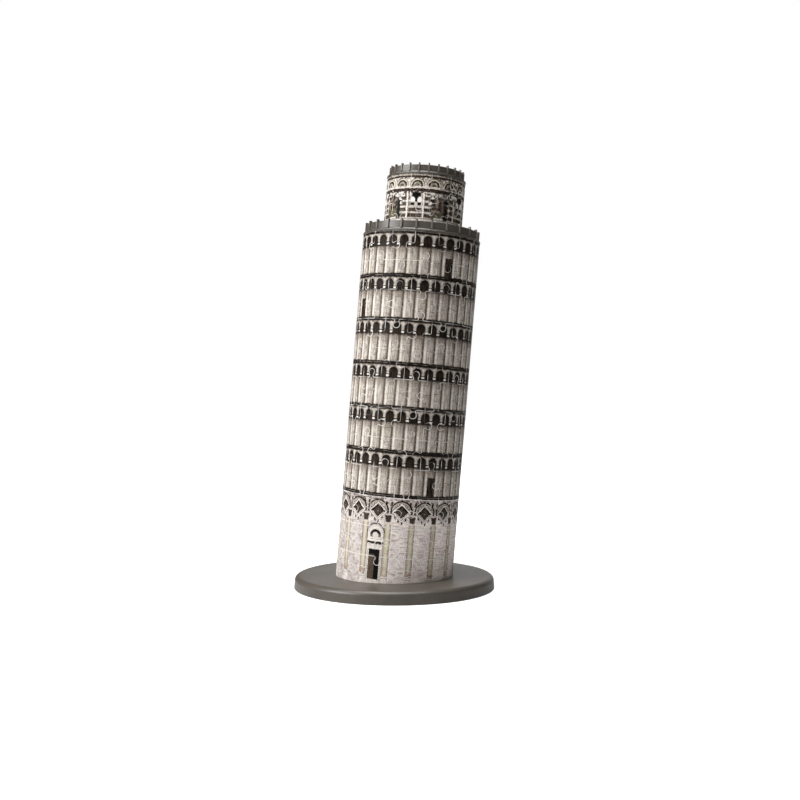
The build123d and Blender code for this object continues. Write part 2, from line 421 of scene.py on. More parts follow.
def make_base(material):
    """Round stand with a rounded rim, ribs and a hub below, and the leaning spigot above."""
    rim_top = BASE_RADIUS - BASE_DRAFT
    hollow = BASE_HEIGHT - BASE_SKIN
    plate = lathe(rounded([
        (0, BASE_HEIGHT, 0),
        (rim_top, BASE_HEIGHT, BASE_ROUNDING),
        (BASE_RADIUS, 0, BASE_FOOT_ROUNDING),
        (BASE_RADIUS - BASE_SKIN, 0, 0.3),
        (rim_top - BASE_SKIN, hollow, 0.5),
        (0, hollow, 0),
    ], steps=10))
    upright = [plate]
    rib_top = BASE_HEIGHT - BASE_SKIN / 2
    half = BASE_RIB_THICKNESS / 2
    rib_end = rim_top - BASE_SKIN / 2
    rib = rounded_box((BASE_HUB_RADIUS - half, -half, BASE_RIB_LIFT), (rib_end, half, rib_top), RIB_ROUNDING)
    for index in range(BASE_RIBS):
        upright.append((turned(rib[0], index * 360 / BASE_RIBS), rib[1]))
    bore = BASE_HUB_RADIUS - BASE_RIB_THICKNESS
    upright.append(lathe(rounded([
        (BASE_HUB_RADIUS, BASE_RIB_LIFT, RIB_ROUNDING), (BASE_HUB_RADIUS, rib_top, 0),
        (bore, rib_top, 0), (bore, BASE_RIB_LIFT, RIB_ROUNDING),
    ])))
    points, faces = join(upright)
    points = to_scene(points, leaning=False)

    outer = SHAFT_RADIUS - SHELL - SPIGOT_GAP
    spigot_points, spigot_faces = lathe(
        tube_line(outer, -BASE_HEIGHT, BASE_SPIGOT_TOP, BASE_SPIGOT_ROUNDING)
    )
    spigot_points = to_scene(spigot_points)
    lowest = (BASE_HEIGHT - BASE_SKIN / 2) * MM
    spigot_points[:, 2] = np.maximum(spigot_points[:, 2], lowest)
    points, faces = join([(points, faces), (spigot_points, spigot_faces)])
    moulding("base_plate_moulding", "base", "base_plate", points, faces, material)


def parapet(level, flange, flange_radius, floor, wall_radius, wall_height, reach, thickness, turn):
    """A flanged floor with a ring wall on it, and upright blades set through the wall."""
    flange_top = level + flange
    wall_top = flange_top + wall_height
    plinth_top = flange_top + PLINTH_HEIGHT
    inner = wall_radius - PARAPET_WALL
    forms = [lathe(rounded([
        (0, level, 0),
        (flange_radius, level, FLANGE_ROUNDING),
        (flange_radius, flange_top, FLANGE_ROUNDING),
        (wall_radius + PLINTH_REACH, flange_top, 0),
        (wall_radius, plinth_top, 0.5),
        (wall_radius, wall_top, WALL_ROUNDING),
        (inner, wall_top, WALL_ROUNDING),
        (inner, level + floor, 0.3),
        (0, level + floor, 0),
    ]))]
    blade_end = (wall_radius + reach, thickness / 2, wall_top + BLADE_RISE)
    blade = rounded_box((inner, -thickness / 2, plinth_top), blade_end, BLADE_ROUNDING)
    for index in range(BLADES):
        forms.append((turned(blade[0], turn + index * 360 / BLADES), blade[1]))
    return forms


def make_deck(material):
    forms = parapet(**DECK)
    outer = SHAFT_RADIUS - SHELL - SPIGOT_GAP
    forms.append(spigot(outer, DECK_LEVEL - SPIGOT_LENGTH, DECK_LEVEL + SPIGOT_ROOT))
    floor = DECK_LEVEL + DECK_FLOOR
    outer = BELFRY_RADIUS - SHELL - SPIGOT_GAP
    forms.append(spigot(outer, floor - SPIGOT_ROOT, floor + SPIGOT_LENGTH))
    points, faces = join(forms)
    moulding("gallery_deck_moulding", "belfry", "gallery_deck", to_scene(points), faces, material)


def make_cap(material):
    forms = parapet(**CAP)
    outer = BELFRY_RADIUS - SHELL - SPIGOT_GAP
    forms.append(spigot(outer, CAP_LEVEL - SPIGOT_LENGTH, CAP_LEVEL + SPIGOT_ROOT))
    points, faces = join(forms)
    moulding("belfry_cap_moulding", "cap", "belfry_cap", to_scene(points), faces, material)


# --- materials: numbers worked out by nodes ---------------------------------------------


class Number:
    """A number that a material works out at each point of the surface."""

    def __init__(self, looks, socket):
        self.looks, self.socket = looks, socket

    def __add__(self, other):
        return self.looks.math("ADD", self, other)

    def __sub__(self, other):
        return self.looks.math("SUBTRACT", self, other)

    def __mul__(self, other):
        return self.looks.math("MULTIPLY", self, other)

    def __truediv__(self, other):
        return self.looks.math("DIVIDE", self, other)

    def __mod__(self, period):
        return self.looks.math("FLOORED_MODULO", self, period)

    def __abs__(self):
        return self.looks.math("ABSOLUTE", self)

    def __or__(self, other):
        return self.looks.math("MAXIMUM", self, other)

    def off(self):
        return self.looks.math("SUBTRACT", 1.0, self)

    def scaled(self, low, high, to_low=0.0, to_high=1.0, smooth=True):
        """Goes from to_low to to_high as the number goes from low to high, and stays within them."""
        node = self.looks.node("ShaderNodeMapRange")
        node.interpolation_type = "SMOOTHSTEP" if smooth else "LINEAR"
        for name, value in zip(("From Min", "From Max", "To Min", "To Max"), (low, high, to_low, to_high)):
            node.inputs[name].default_value = value
        self.looks.feed(node.inputs["Value"], self)
        return Number(self.looks, node.outputs["Result"])

    def above(self, edge, soft):
        return self.scaled(edge - soft, edge + soft)

    def below(self, edge, soft):
        return self.scaled(edge - soft, edge + soft, 1.0, 0.0)

    def near(self, middle, half, soft):
        """1 within half of the middle, falling to 0 over twice soft."""
        return abs(self - middle).below(half, soft)

    def within(self, low, high, soft):
        return self.near((low + high) / 2, (high - low) / 2, soft)

    def around(self, middle, period):
        """How far past the nearest of middle, middle + period, middle + 2 period... it is."""
        return (self - (middle - period / 2)) % period - period / 2

    def hypot(self, other):
        return self.looks.math("SQRT", self * self + other * other)

    def cover(self, colour, share):
        """This colour with another over it."""
        return self.looks.mix(self, colour, share)

    def shade(self, brightness):
        return self.looks.shade(self, brightness)


class Looks:
    """The node tree of one material."""

    def __init__(self, name):
        self.material = bpy.data.materials.new(name)
        self.material.use_nodes = True
        self.tree = self.material.node_tree
        self.shader = self.tree.nodes["Principled BSDF"]

    def node(self, kind):
        return self.tree.nodes.new(kind)

    def feed(self, socket, value):
        if isinstance(value, Number):
            self.tree.links.new(value.socket, socket)
        elif isinstance(value, tuple):
            socket.default_value = (*value, 1)
        else:
            socket.default_value = value

    def math(self, operation, *values):
        node = self.node("ShaderNodeMath")
        node.operation = operation
        for socket, value in zip(node.inputs, values):
            self.feed(socket, value)
        return Number(self, node.outputs[0])

    def attribute(self, name):
        node = self.node("ShaderNodeAttribute")
        node.attribute_name = name
        return node

    def place(self, x, y, z):
        node = self.node("ShaderNodeCombineXYZ")
        for socket, value in zip(node.inputs, (x, y, z)):
            self.feed(socket, value)
        return Number(self, node.outputs[0])

    def noise(self, place, size, detail=2.0, rough=0.5):
        """Soft noise from 0 to 1, about size across, in the units of place."""
        node = self.node("ShaderNodeTexNoise")
        self.feed(node.inputs["Vector"], place)
        node.inputs["Scale"].default_value = 1 / size
        node.inputs["Detail"].default_value = detail
        node.inputs["Roughness"].default_value = rough
        return Number(self, node.outputs["Fac"])

    def mix(self, under, over, share):
        """Colour over on colour under, by a share from 0 to 1."""
        node = self.node("ShaderNodeMix")
        node.data_type = "RGBA"
        self.feed(node.inputs[0], share)
        self.feed(node.inputs[6], under)
        self.feed(node.inputs[7], over)
        return Number(self, node.outputs[2])

    def shade(self, colour, brightness):
        """A colour made lighter or darker, or tinted where brightness is a colour."""
        node = self.node("ShaderNodeMix")
        node.data_type = "RGBA"
        node.blend_type = "MULTIPLY"
        node.inputs[0].default_value = 1.0
        self.feed(node.inputs[6], colour)
        if not isinstance(brightness, tuple):
            grey = self.node("ShaderNodeCombineColor")
            for socket in grey.inputs:
                self.feed(socket, brightness)
            brightness = Number(self, grey.outputs[0])
        self.feed(node.inputs[7], brightness)
        return Number(self, node.outputs[2])

    def finish(self, colour, roughness, relief, depth):
        """Colour and roughness on the shader, and a bump that is depth metres deep."""
        self.feed(self.shader.inputs["Base Color"], colour)
        self.feed(self.shader.inputs["Roughness"], roughness)
        bump = self.node("ShaderNodeBump")
        bump.inputs["Distance"].default_value = depth
        self.feed(bump.inputs["Height"], relief)
        self.tree.links.new(bump.outputs["Normal"], self.shader.inputs["Normal"])
        return self.material


def tone(red, green, blue):
    """A colour as a screen shows it, 0 to 255, as the shader's linear one."""
    def linear(value):
        value /= 255
        return value / 12.92 if value <= 0.04045 else ((value + 0.055) / 1.055) ** 2.4
    return (linear(red), linear(green), linear(blue))


WHITE_STONE = tone(250, 246, 240)
PALE_STONE = tone(222, 214, 205)
GREY_STONE = tone(158, 147, 136)
DARK_STONE = tone(100, 87, 76)
LILAC_STONE = tone(222, 213, 216)
PINK_STONE = tone(240, 229, 225)
CREAM_STONE = tone(222, 214, 186)
RUST_STONE = tone(172, 136, 116)
MOSS = tone(98, 98, 70)
BROWN = tone(82, 66, 53)
SHADE = tone(44, 34, 28)
BLACK = tone(8, 6, 5)
MORTAR = tone(186, 175, 172)
PLASTIC_WHITE = tone(238, 236, 231)
PLASTIC_GREY, PALER_GREY = tone(66, 60, 54), tone(80, 74, 67)
# the last grey is a painted highlight for the mouldings' edges
DARKER_GREY, EDGE_HIGHLIGHT_GREY = tone(60, 55, 49), tone(160, 154, 145)


class Print:
    """Where on the printed surface a point is: turn round the tower and level up it."""

    def __init__(self, looks, radius):
        self.looks = looks
        split = looks.node("ShaderNodeSeparateXYZ")
        looks.tree.links.new(looks.attribute("print").outputs["Vector"], split.inputs[0])
        turn, level, depth = (Number(looks, socket) for socket in split.outputs)
        self.per_degree = math.radians(1) * radius
        across = turn * self.per_degree
        self.flat = looks.place(across, level, depth)
        blur = looks.noise(self.flat, 0.9, 1.0)
        drift = looks.noise(looks.place(level, across, 7.0), 1.3, 1.0)
        self.turn = (turn + (blur - 0.5) * (1.1 / self.per_degree)).around(0.0, 360.0)
        self.level = level + (drift - 0.5) * 1.2
        # how far round towards the tower's right side a point is, 1 there and -1 on its left; the ground and
        # the belfry use it for painted light
        self.right = looks.math("SINE", turn * math.radians(1))
        self.grain = looks.noise(self.flat, 0.6, 2.0)
        self.patch = looks.noise(self.flat, 2.4, 3.0)
        self.cloud = looks.noise(self.flat, 9.0, 1.0)
        self.drip = looks.noise(looks.place(across * 4.0, level * 0.5, 3.0), 3.0, 2.0)
        self.course = looks.noise(looks.place(across * 0.35, level * 3.0, 5.0), 2.4, 2.0)

    def millimetres(self, degrees):
        return degrees * self.per_degree


def mottled(area, under, over, share=0.6):
    """Stone of two colours in patches, with finer grain."""
    looks = area.looks
    colour = looks.mix(under, over, area.patch.scaled(0.35, 0.65, 0.0, share))
    return colour.shade(area.grain.scaled(0.3, 0.7, 0.64, 1.18, False))


# --- the gallery storeys ----------------------------------------------------------------

STOREY_BASE, STOREY_HEIGHT = 59.5, 30.21
GALLERY_BAY, GALLERY_COLUMN = 11.25, -0.3
NARROW_DOORS = (        # storey, turn of its middle
    (0, 27.7), (1, 118.0), (2, -107.0), (3, 163.0), (4, -62.0), (5, 27.7),
)
NARROW_DOOR_HALF, NARROW_DOOR_LOW, NARROW_DOOR_HIGH = 4.0, 1.1, 14.2


def paint_panels(area, rise, column_mm, bay_mm):
    """The wall of a storey, with a pale column and its soft shadow between every two bays."""
    looks = area.looks
    wall = mottled(area, PALE_STONE, GREY_STONE, 0.35)
    wall = wall.shade(bay_mm.scaled(-2.6, 3.2, 1.04, 0.78))
    wall = wall.shade(area.drip.scaled(0.35, 0.65, 0.64, 1.14))
    wall = wall.cover(DARK_STONE, area.course.above(0.62, 0.06) * 0.6)
    wall = wall.cover(GREY_STONE, rise.below(2.4, 0.5) * area.course.above(0.45, 0.1) * 0.8)
    shadow = column_mm.near(-1.75, 0.75, 0.7) * area.drip.scaled(0.25, 0.65, 0.55, 1.0)
    wall = wall.cover(looks.mix(BROWN, SHADE, column_mm.near(-1.7, 0.1, 0.5)), shadow)
    edge = column_mm.near(1.25, 0.2, 0.35) * area.drip.scaled(0.3, 0.7, 0.1, 0.55)
    wall = wall.cover(DARK_STONE, edge)
    light = looks.mix(WHITE_STONE, CREAM_STONE, area.cloud.scaled(0.45, 0.65, 0.0, 0.5))
    light = light.shade(column_mm.scaled(-0.2, 1.1, 1.0, 0.8))
    shaft = column_mm.near(0.05, 0.85, 0.35) * area.drip.scaled(0.2, 0.6, 0.55, 1.0)
    wall = wall.cover(light, shaft)
    wall = wall.cover(DARK_STONE, rise.scaled(12.5, 19.6, 0.0, 0.6))
    return wall.cover(SHADE, rise.above(19.4, 0.9) * area.patch.scaled(0.35, 0.6, 0.4, 0.9))


def paint_openings(area, wall, rise, column_mm, bay_mm):
    """Dark openings with round heads, between pale capitals and the spandrels above them."""
    looks = area.looks
    band = mottled(area, BLACK, SHADE, 0.8)
    wall = wall.cover(band, rise.within(20.2, 23.0, 0.4))
    spandrel = mottled(area, WHITE_STONE, GREY_STONE, 0.6)
    spandrel = spandrel.cover(GREY_STONE, column_mm.near(0.0, 0.5, 1.2).off() * 0.6)
    spandrel = spandrel.cover(DARK_STONE, rise.above(28.0, 0.5) * area.patch.above(0.5, 0.08) * 0.8)
    wall = wall.cover(spandrel, rise.above(22.9, 0.25))
    neck = column_mm.near(0.0, 1.9, 0.4) * rise.near(22.75, 0.28, 0.25)
    wall = wall.cover(BLACK, neck * 0.9)
    capital = column_mm.near(0.0, 1.25, 0.3) * rise.within(21.15, 22.3, 0.3)
    wall = wall.cover(WHITE_STONE, capital)

    head = bay_mm.hypot((rise - 24.6) * 0.93)
    moulding = head.near(3.7, 0.12, 0.3) * rise.above(24.0, 0.6) * area.grain.scaled(0.3, 0.6, 0.2, 0.8)
    wall = wall.cover(DARK_STONE, moulding)
    sides = abs(bay_mm).below(3.15, 0.3) * rise.within(20.5, 24.6, 0.4)
    opening = head.below(3.25, 0.3) | sides
    depth = area.drip.above(0.47, 0.08) * rise.below(26.0, 1.4)
    return wall.cover(looks.mix(BLACK, BROWN, depth * 0.35), opening)


def paint_gallery(area):
    """Six storeys: columns before a shaded wall, dark openings with round heads, and a cornice."""
    looks = area.looks
    rise = (area.level - STOREY_BASE) % STOREY_HEIGHT
    past_cornice = area.level.around(STOREY_BASE, STOREY_HEIGHT)
    column_mm = area.millimetres(area.turn.around(GALLERY_COLUMN, GALLERY_BAY))
    bay_mm = area.millimetres(area.turn.around(GALLERY_COLUMN + GALLERY_BAY / 2, GALLERY_BAY))
    wall = paint_panels(area, rise, column_mm, bay_mm)
    wall = paint_openings(area, wall, rise, column_mm, bay_mm)

    line = mottled(area, BLACK, SHADE, 0.7)
    lit = past_cornice.near(0.25, 0.14, 0.22) * area.course.above(0.5, 0.06)
    line = line.cover(GREY_STONE, lit)
    wall = wall.cover(line, past_cornice.near(0.05, 1.5, 0.35))

    door = None
    for storey, turn in NARROW_DOORS:
        base = STOREY_BASE + storey * STOREY_HEIGHT
        across = area.turn.near(turn, NARROW_DOOR_HALF, 0.4)
        here = across * area.level.within(base + NARROW_DOOR_LOW, base + NARROW_DOOR_HIGH, 0.3)
        door = here if door is None else door | here
    dark = looks.mix(BLACK, BROWN, area.drip.above(0.52, 0.08))
    return wall.cover(dark, door)


# --- the ground storey ------------------------------------------------------------------

GROUND_BAY, GROUND_ARCH, GROUND_COLUMN = 22.5, 1.4, 12.0
ARCH_LEVEL, ARCH_RADIUS = 49.1, 7.1
LOZENGE_LEVEL, LOZENGE_WIDE, LOZENGE_HIGH = 48.6, 6.3, 6.2
DOOR_TURN = -21.7


def paint_column(area, wall, across):
    """Half columns on plinths, with a ring under a dark capital."""
    looks, level = area.looks, area.level
    wide = abs(across)
    rust = level.below(9.0, 4.0) * area.cloud.above(0.5, 0.1) | area.cloud.above(0.62, 0.06) * 0.5
    colour = looks.mix(CREAM_STONE, RUST_STONE, rust)
    colour = colour.cover(PALE_STONE, area.patch.scaled(0.4, 0.65, 0.0, 0.7))
    colour = colour.shade(wide.scaled(0.2, 1.7, 1.06, 0.68))
    colour = colour.shade(area.grain.scaled(0.3, 0.7, 0.84, 1.08))
    shaft = level.within(4.6, 40.6, 0.2)
    wall = wall.cover(DARK_STONE, wide.near(1.95, 0.2, 0.3) * shaft)
    wall = wall.cover(colour, wide.below(1.65, 0.25) * shaft)
    plinth = wide.below(2.5, 0.2) * level.below(4.6, 0.2)
    stone = mottled(area, WHITE_STONE, PALE_STONE)
    lines = level.near(2.85, 0.14, 0.22) | level.near(4.45, 0.12, 0.2) | wide.near(2.5, 0.1, 0.2)
    stone = stone.cover(DARK_STONE, lines)
    wall = wall.cover(stone, plinth)
    ring = wide.below(2.1, 0.2) * level.within(40.3, 41.4, 0.2)
    wall = wall.cover(PALE_STONE, ring)
    capital = (wide - (level - 41.8) * 0.17).below(1.65, 0.35) * level.within(41.7, 46.4, 0.3)
    carved = looks.mix(BLACK, DARK_STONE, area.grain.scaled(0.4, 0.65))
    wall = wall.cover(carved, capital)
    abacus = wide.below(2.7, 0.25) * level.within(46.5, 47.2, 0.2)
    wall = wall.cover(PALE_STONE, abacus)
    return wall.cover(SHADE, wide.below(2.6, 0.3) * level.near(47.6, 0.15, 0.2) * 0.85)


def paint_arches(area, wall, across):
    """Blind arches: a dark outer line, a pale ring, and pale blocks on the shaded wall inside."""
    looks = area.looks
    over = area.level - ARCH_LEVEL
    radius = across.hypot(over)
    raised = over.above(-1.4, 0.4)
    shaded = mottled(area, DARK_STONE, GREY_STONE)
    wall = wall.cover(shaded, radius.below(ARCH_RADIUS, 0.2) * raised)
    wall = wall.cover(PALE_STONE, radius.near(6.35, 0.22, 0.2) * raised)
    angle = looks.math("ARCTAN2", over, across)
    blocks = looks.math("SINE", angle * 22.0).above(-0.1, 0.4)
    wall = wall.cover(PALE_STONE, radius.near(5.3, 0.4, 0.15) * raised * blocks)
    line = looks.mix(SHADE, BLACK, across.above(0.0, 3.0))
    return wall.cover(line, radius.near(ARCH_RADIUS + 0.15, 0.55, 0.35) * raised)


def paint_spandrels(area, wall, column):
    """Carving between the arches: a light rib up from each capital, with dark hollows beside it."""
    level = area.level
    wide = abs(column)
    carving = level.within(50.0, 57.5, 0.6) * area.patch.above(0.5, 0.06)
    wall = wall.cover(BROWN, carving * area.grain.above(0.42, 0.1))
    rib = (wide - (level - 53.0) * 0.2).below(0.55, 0.4) * level.within(47.6, 57.2, 0.5)
    wall = wall.cover(mottled(area, PALE_STONE, GREY_STONE), rib)
    hollow = (wide - 1.9).hypot((level - 54.6) * 0.7).below(0.85, 0.35)
    return wall.cover(SHADE, hollow)


def paint_lozenges(area, wall, across):
    """A dark lozenge in a white frame under each arch, lighter below, with a row of specks."""
    looks = area.looks
    up = area.level - LOZENGE_LEVEL
    norm = abs(across) / LOZENGE_WIDE + abs(up) / LOZENGE_HIGH
    lower = up.below(-0.4, 0.3)
    wall = wall.cover(DARK_STONE, norm.below(1.1, 0.04))
    wall = wall.cover(WHITE_STONE, norm.below(1.03, 0.04))
    wall = wall.cover(BLACK, norm.below(0.87, 0.03))
    wall = wall.cover(GREY_STONE, norm.below(0.84, 0.03) * lower)
    wall = wall.cover(WHITE_STONE, norm.near(0.72, 0.04, 0.04) * lower)
    core = looks.mix(BLACK, DARK_STONE, area.grain.scaled(0.4, 0.7))
    core = core.cover(DARK_STONE, norm.near(0.32, 0.03, 0.05))
    core = core.cover(PALE_STONE, norm.below(0.07, 0.06) * 0.7)
    wall = wall.cover(core, norm.below(0.64, 0.04))
    specks = looks.math("SINE", across * 2.5).above(0.0, 0.4)
    below = norm.near(1.25, 0.13, 0.05) * up.below(-1.5, 0.5)
    return wall.cover(BLACK, below * specks)


def paint_doorway(area, wall):
    """A tall doorway in one bay, with a leaf, jambs, a lintel and a round tympanum."""
    looks, level = area.looks, area.level
    across = area.millimetres(area.turn - DOOR_TURN)
    wide = abs(across)
    white = mottled(area, WHITE_STONE, GREY_STONE, 0.4)
    wall = wall.cover(GREY_STONE, wide.near(5.7, 0.2, 0.3) * level.below(26.0, 0.3))
    wall = wall.cover(white, wide.below(5.5, 0.2) * level.below(26.0, 0.25))
    wall = wall.cover(DARK_STONE, wide.near(4.9, 0.12, 0.2) * level.below(22.0, 0.3) * 0.8)
    slot = mottled(area, BLACK, DARK_STONE, 0.5)
    wall = wall.cover(slot, wide.below(6.0, 0.2) * level.within(25.8, 27.5, 0.25))
    wall = wall.cover(WHITE_STONE, wide.below(5.9, 0.2) * level.within(27.8, 28.8, 0.25))
    wall = wall.cover(DARK_STONE, wide.below(5.9, 0.2) * level.near(29.2, 0.12, 0.25))

    lower = level.within(29.3, 33.8, 0.3)
    outer = across.hypot(level - 33.8)
    field = (outer.below(6.1, 0.2) * level.above(33.8, 0.1)) | (wide.below(6.1, 0.2) * lower)
    wall = wall.cover(mottled(area, WHITE_STONE, PALE_STONE), field)
    ring = (outer.near(6.15, 0.45, 0.3) * level.above(33.8, 0.2)) | (wide.near(6.1, 0.25, 0.25) * lower)
    wall = wall.cover(SHADE, ring)
    wall = wall.cover(GREY_STONE, outer.near(5.0, 0.15, 0.25) * level.above(33.8, 0.2) * 0.8)
    inner = across.hypot(level - 31.9)
    hood = inner.near(3.1, 0.95, 0.25) * level.above(30.6, 0.4)
    wall = wall.cover(BLACK, hood * level.scaled(31.0, 34.0, 0.8, 1.0))

    opening = wide.below(4.05, 0.2) * level.within(1.6, 22.3, 0.3)
    leaf = mottled(area, looks.mix(DARK_STONE, BROWN, area.drip.above(0.5, 0.06)), DARK_STONE, 0.8)
    leaf = leaf.cover(BLACK, across.above(0.5, 0.35))
    leaf = leaf.cover(BLACK, level.above(18.7, 0.5) | wide.above(3.7, 0.2))
    latch = across.near(1.4, 0.4, 0.2) * level.within(14.5, 17.5, 0.3)
    leaf = leaf.cover(DARK_STONE, latch)
    return wall.cover(leaf, opening)


def coursed_stone(area):
    """Pale blocks in level courses, blotched and dotted, lighter towards the tower's right side as painted
    light.
    """
    looks = area.looks
    bricks = looks.node("ShaderNodeTexBrick")
    looks.feed(bricks.inputs["Vector"], area.flat)
    looks.feed(bricks.inputs["Color1"], PINK_STONE)
    looks.feed(bricks.inputs["Color2"], LILAC_STONE)
    looks.feed(bricks.inputs["Mortar"], MORTAR)
    bricks.inputs["Scale"].default_value = 1.0
    bricks.inputs["Brick Width"].default_value = 5.4
    bricks.inputs["Row Height"].default_value = 2.6
    bricks.inputs["Mortar Size"].default_value = 0.1
    bricks.inputs["Mortar Smooth"].default_value = 1.0
    wall = Number(looks, bricks.outputs["Color"])
    wall = wall.cover(WHITE_STONE, area.cloud.scaled(0.4, 0.62, 0.0, 0.6))
    wall = wall.cover(DARK_STONE, area.course.above(0.58, 0.06) * area.grain.above(0.5, 0.1) * 0.75)
    wall = wall.cover(GREY_STONE, area.patch.above(0.56, 0.08) * 0.5)
    # painted light: the stone is lighter towards the tower's right side and darker towards its left
    return wall.shade(area.grain.scaled(0.3, 0.7, 0.7, 1.06) * (area.right * 0.4 + 1.25))


def paint_ground(area):
    """The ground storey: coursed stone between half columns, under blind arches."""
    level = area.level
    across = area.millimetres(area.turn.around(GROUND_ARCH, GROUND_BAY))
    column = area.millimetres(area.turn.around(GROUND_COLUMN, GROUND_BAY))
    wall = paint_spandrels(area, coursed_stone(area), column)
    wall = paint_arches(area, wall, across)
    wall = paint_lozenges(area, wall, across)
    wall = paint_column(area, wall, column)
    wall = wall.cover(SHADE, level.near(57.4, 0.25, 0.3) * area.course.above(0.45, 0.08) * 0.9)
    return paint_doorway(area, wall)


# --- the belfry -------------------------------------------------------------------------

BELFRY_PERIOD = 72.0
BELFRY_SHAFTS = (-26.4, -2.4, 45.6)
STRIPE_LEVEL, STRIPE_STEP = 254.5, 3.97
# the turn where brown patches darken the belfry: painted shade together with stain
STAIN_AND_SHADE_TURN = 40.0
BELFRY_STEP = 252.3
OPEN_ARCH, BROAD_ARCH = -13.2, 21.5
ARCADE_BAY, ARCADE_LEVEL = 24.0, 275.3


def paint_small_arch(area, wall):
    """A black opening that narrows to a point between two white curls, with dark blocks below."""
    level = area.level
    across = area.millimetres(area.turn.around(OPEN_ARCH, BELFRY_PERIOD))
    wide = abs(across)
    plain = mottled(area, PALE_STONE, GREY_STONE)
    wall = wall.cover(plain, wide.below(4.4, 0.4) * level.within(260.5, 270.0, 0.3))
    heart = (wide - (level - 264.2) * 0.8).below(0.5, 0.3) * wide.below(3.2, 0.3)
    wall = wall.cover(BLACK, heart * level.within(263.2, 270.6, 0.3))
    wall = wall.cover(WHITE_STONE, (wide - 2.5).hypot((level - 265.3) * 0.8).below(1.65, 0.3))
    block = wide.near(2.5, 1.5, 0.2) * level.near(262.5, 0.95, 0.25)
    return wall.cover(BLACK, block)


def paint_broad_arch(area, wall):
    """A broad arched recess, brown and mossy, black down its right side."""
    looks, level = area.looks, area.level
    across = area.millimetres(area.turn.around(BROAD_ARCH, BELFRY_PERIOD))
    head = across.hypot((level - 262.0) * 0.95)
    crown = level.above(262.0, 0.6)
    carved = looks.mix(SHADE, WHITE_STONE, area.patch.above(0.5, 0.06))
    wall = wall.cover(carved, head.below(8.2, 0.4) * crown)
    recess = looks.mix(DARK_STONE, SHADE, area.grain.above(0.5, 0.12))
    recess = recess.cover(GREY_STONE, area.patch.above(0.52, 0.05) * 0.8)
    recess = recess.cover(MOSS, area.cloud.scaled(0.4, 0.6, 0.0, 0.8) * level.below(259.0, 2.0))
    recess = recess.cover(BLACK, across.above(3.4, 0.8) | area.patch.below(0.38, 0.04))
    recess = recess.cover(WHITE_STONE, level.below(253.6, 0.4) * across.near(-0.5, 3.4, 0.5) * 0.9)
    arched = head.below(6.2, 0.3) | (abs(across).below(6.2, 0.3) * level.within(250.8, 262.0, 0.3))
    return wall.cover(recess, arched)


def paint_arcade(area):
    """The belfry's upper storey: round blind arches between pale posts."""
    across = area.millimetres(area.turn.around(OPEN_ARCH, ARCADE_BAY))
    over = area.level - ARCADE_LEVEL
    radius = across.hypot(over)
    raised = over.above(-0.3, 0.2)
    wall = mottled(area, WHITE_STONE, GREY_STONE, 0.8)
    blotch = area.cloud.scaled(0.42, 0.6) * area.patch.above(0.47, 0.1)
    wall = wall.cover(BROWN, radius.above(5.0, 0.3) * blotch)
    wall = wall.cover(CREAM_STONE, radius.near(4.5, 0.2, 0.25) * raised)
    wall = wall.cover(BROWN, radius.near(5.1, 0.25, 0.25) * raised)
    field = mottled(area, GREY_STONE, MOSS, 1.0)
    wall = wall.cover(field, radius.below(4.0, 0.25) * raised)
    wall = wall.cover(BLACK, radius.near(3.4, 0.55, 0.35) * raised)
    wall = wall.cover(PALE_STONE, radius.near(2.2, 0.25, 0.25) * raised * area.patch.above(0.5, 0.06))
    wall = wall.cover(BLACK, radius.below(1.3, 0.3) * raised * area.grain.above(0.42, 0.1))
    return wall.cover(PALE_STONE, abs(across).above(5.2, 0.2) * over.below(2.2, 0.4))


